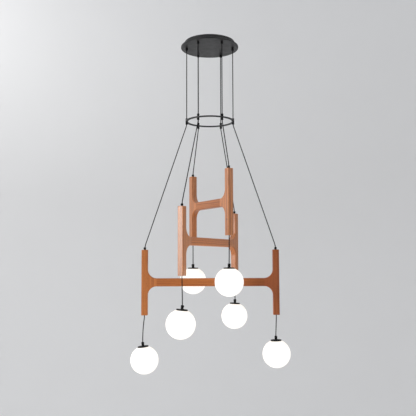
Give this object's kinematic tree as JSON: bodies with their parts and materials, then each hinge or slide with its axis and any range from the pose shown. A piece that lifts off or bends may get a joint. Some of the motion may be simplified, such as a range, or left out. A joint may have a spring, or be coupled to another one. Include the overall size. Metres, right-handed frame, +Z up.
{
  "type": "orb chandelier",
  "caption": "Tiered chandelier of H-shaped wooden frames hung on black cords from a round canopy and spreader ring, with an opal glass globe hanging below each frame end.",
  "frame": {"origin": "centre of the canopy's top face, where it meets the ceiling", "axes": "+Z up into the ceiling; +X along the lowest frame; +Y away from the viewer of the picture, within a degree"},
  "size_m": [0.8584, 0.6566, 1.819],
  "materials": {
    "oiled_wood": "oiled, satin, straight grain",
    "black_powder_coat": "matte black powder coat",
    "black_hardware": "matte black",
    "fastener_steel": "blackened steel",
    "black_textile_cord": "braided textile sleeve",
    "opal_glass": "satin opal, lit",
    "lamp_envelope": "frosted",
    "lampholder_ceramic": "glazed",
    "terminal_plastic": "moulded"
  },
  "bodies": {
    "root": {"ceiling_pan": "black_powder_coat", "canopy_plate": "black_powder_coat", "canopy_fasteners": "fastener_steel", "cord_grips": "black_hardware", "terminal_block": "terminal_plastic", "spreader_ring": "black_powder_coat", "top_left_upper_cord": "black_textile_cord", "top_right_upper_cord": "black_textile_cord", "mid_left_upper_cord": "black_textile_cord", "mid_right_upper_cord": "black_textile_cord", "low_left_upper_cord": "black_textile_cord", "low_right_upper_cord": "black_textile_cord"},
    "top_frame": {"top_upright_left": "oiled_wood", "top_upright_right": "oiled_wood", "top_crossbar": "oiled_wood", "top_grips": "black_hardware", "top_left_cord": "black_textile_cord", "top_right_cord": "black_textile_cord"},
    "mid_frame": {"mid_upright_left": "oiled_wood", "mid_upright_right": "oiled_wood", "mid_crossbar": "oiled_wood", "mid_grips": "black_hardware", "mid_left_cord": "black_textile_cord", "mid_right_cord": "black_textile_cord"},
    "low_frame": {"low_upright_left": "oiled_wood", "low_upright_right": "oiled_wood", "low_crossbar": "oiled_wood", "low_grips": "black_hardware", "low_left_cord": "black_textile_cord", "low_right_cord": "black_textile_cord"},
    "top_left_drop": {"top_left_drop_cord": "black_textile_cord"},
    "top_left_lamp": {"top_left_cap": "black_hardware", "top_left_lampholder": "lampholder_ceramic", "top_left_bulb": "lamp_envelope", "top_left_globe": "opal_glass"},
    "top_right_drop": {"top_right_drop_cord": "black_textile_cord"},
    "top_right_lamp": {"top_right_cap": "black_hardware", "top_right_lampholder": "lampholder_ceramic", "top_right_bulb": "lamp_envelope", "top_right_globe": "opal_glass"},
    "mid_left_drop": {"mid_left_drop_cord": "black_textile_cord"},
    "mid_left_lamp": {"mid_left_cap": "black_hardware", "mid_left_lampholder": "lampholder_ceramic", "mid_left_bulb": "lamp_envelope", "mid_left_globe": "opal_glass"},
    "mid_right_drop": {"mid_right_drop_cord": "black_textile_cord"},
    "mid_right_lamp": {"mid_right_cap": "black_hardware", "mid_right_lampholder": "lampholder_ceramic", "mid_right_bulb": "lamp_envelope", "mid_right_globe": "opal_glass"},
    "low_left_drop": {"low_left_drop_cord": "black_textile_cord"},
    "low_left_lamp": {"low_left_cap": "black_hardware", "low_left_lampholder": "lampholder_ceramic", "low_left_bulb": "lamp_envelope", "low_left_globe": "opal_glass"},
    "low_right_drop": {"low_right_drop_cord": "black_textile_cord"},
    "low_right_lamp": {"low_right_cap": "black_hardware", "low_right_lampholder": "lampholder_ceramic", "low_right_bulb": "lamp_envelope", "low_right_globe": "opal_glass"}
  },
  "joints": [
    {"name": "top_frame_swing", "type": "hinge", "parent": "root", "child": "top_frame", "pos_m": [0, 0, -0.46145], "axis": [0.5, -0.866, 0], "range_deg": [-4, 4]},
    {"name": "mid_frame_swing", "type": "hinge", "parent": "root", "child": "mid_frame", "pos_m": [0, 0, -0.46145], "axis": [0.5, 0.866, 0], "range_deg": [-4, 4]},
    {"name": "low_frame_swing", "type": "hinge", "parent": "root", "child": "low_frame", "pos_m": [0, 0, -0.46145], "axis": [1, 0, 0], "range_deg": [-4, 4]},
    {"name": "top_left_drop_swing", "type": "hinge", "parent": "top_frame", "child": "top_left_drop", "pos_m": [-0.096, 0.16628, -1.082], "axis": [0, 1, 0], "range_deg": [-10, 10]},
    {"name": "top_left_lamp_tilt", "type": "hinge", "parent": "top_left_drop", "child": "top_left_lamp", "pos_m": [-0.096, 0.16628, -1.236], "axis": [1, 0, 0], "range_deg": [-10, 10]},
    {"name": "top_right_drop_swing", "type": "hinge", "parent": "top_frame", "child": "top_right_drop", "pos_m": [0.096, -0.16628, -1.082], "axis": [0, 1, 0], "range_deg": [-10, 10]},
    {"name": "top_right_lamp_tilt", "type": "hinge", "parent": "top_right_drop", "child": "top_right_lamp", "pos_m": [0.0945, -0.16628, -1.233], "axis": [1, 0, 0], "range_deg": [-10, 10]},
    {"name": "mid_left_drop_swing", "type": "hinge", "parent": "mid_frame", "child": "mid_left_drop", "pos_m": [-0.14625, -0.25331, -1.2885], "axis": [0, 1, 0], "range_deg": [-10, 10]},
    {"name": "mid_left_lamp_tilt", "type": "hinge", "parent": "mid_left_drop", "child": "mid_left_lamp", "pos_m": [-0.14412, -0.25331, -1.43888], "axis": [1, 0, 0], "range_deg": [-10, 10]},
    {"name": "mid_right_drop_swing", "type": "hinge", "parent": "mid_frame", "child": "mid_right_drop", "pos_m": [0.14625, 0.25331, -1.2885], "axis": [0, 1, 0], "range_deg": [-10, 10]},
    {"name": "mid_right_lamp_tilt", "type": "hinge", "parent": "mid_right_drop", "child": "mid_right_lamp", "pos_m": [0.14647, 0.25331, -1.4406], "axis": [1, 0, 0], "range_deg": [-10, 10]},
    {"name": "low_left_drop_swing", "type": "hinge", "parent": "low_frame", "child": "low_left_drop", "pos_m": [-0.3555, 0, -1.504], "axis": [0, 1, 0], "range_deg": [-10, 10]},
    {"name": "low_left_lamp_tilt", "type": "hinge", "parent": "low_left_drop", "child": "low_left_lamp", "pos_m": [-0.36454, 0, -1.65154], "axis": [1, 0, 0], "range_deg": [-10, 10]},
    {"name": "low_right_drop_swing", "type": "hinge", "parent": "low_frame", "child": "low_right_drop", "pos_m": [0.3555, 0, -1.504], "axis": [0, 1, 0], "range_deg": [-10, 10]},
    {"name": "low_right_lamp_tilt", "type": "hinge", "parent": "low_right_drop", "child": "low_right_lamp", "pos_m": [0.3513, 0, -1.62154], "axis": [1, 0, 0], "range_deg": [-10, 10]}
  ]
}
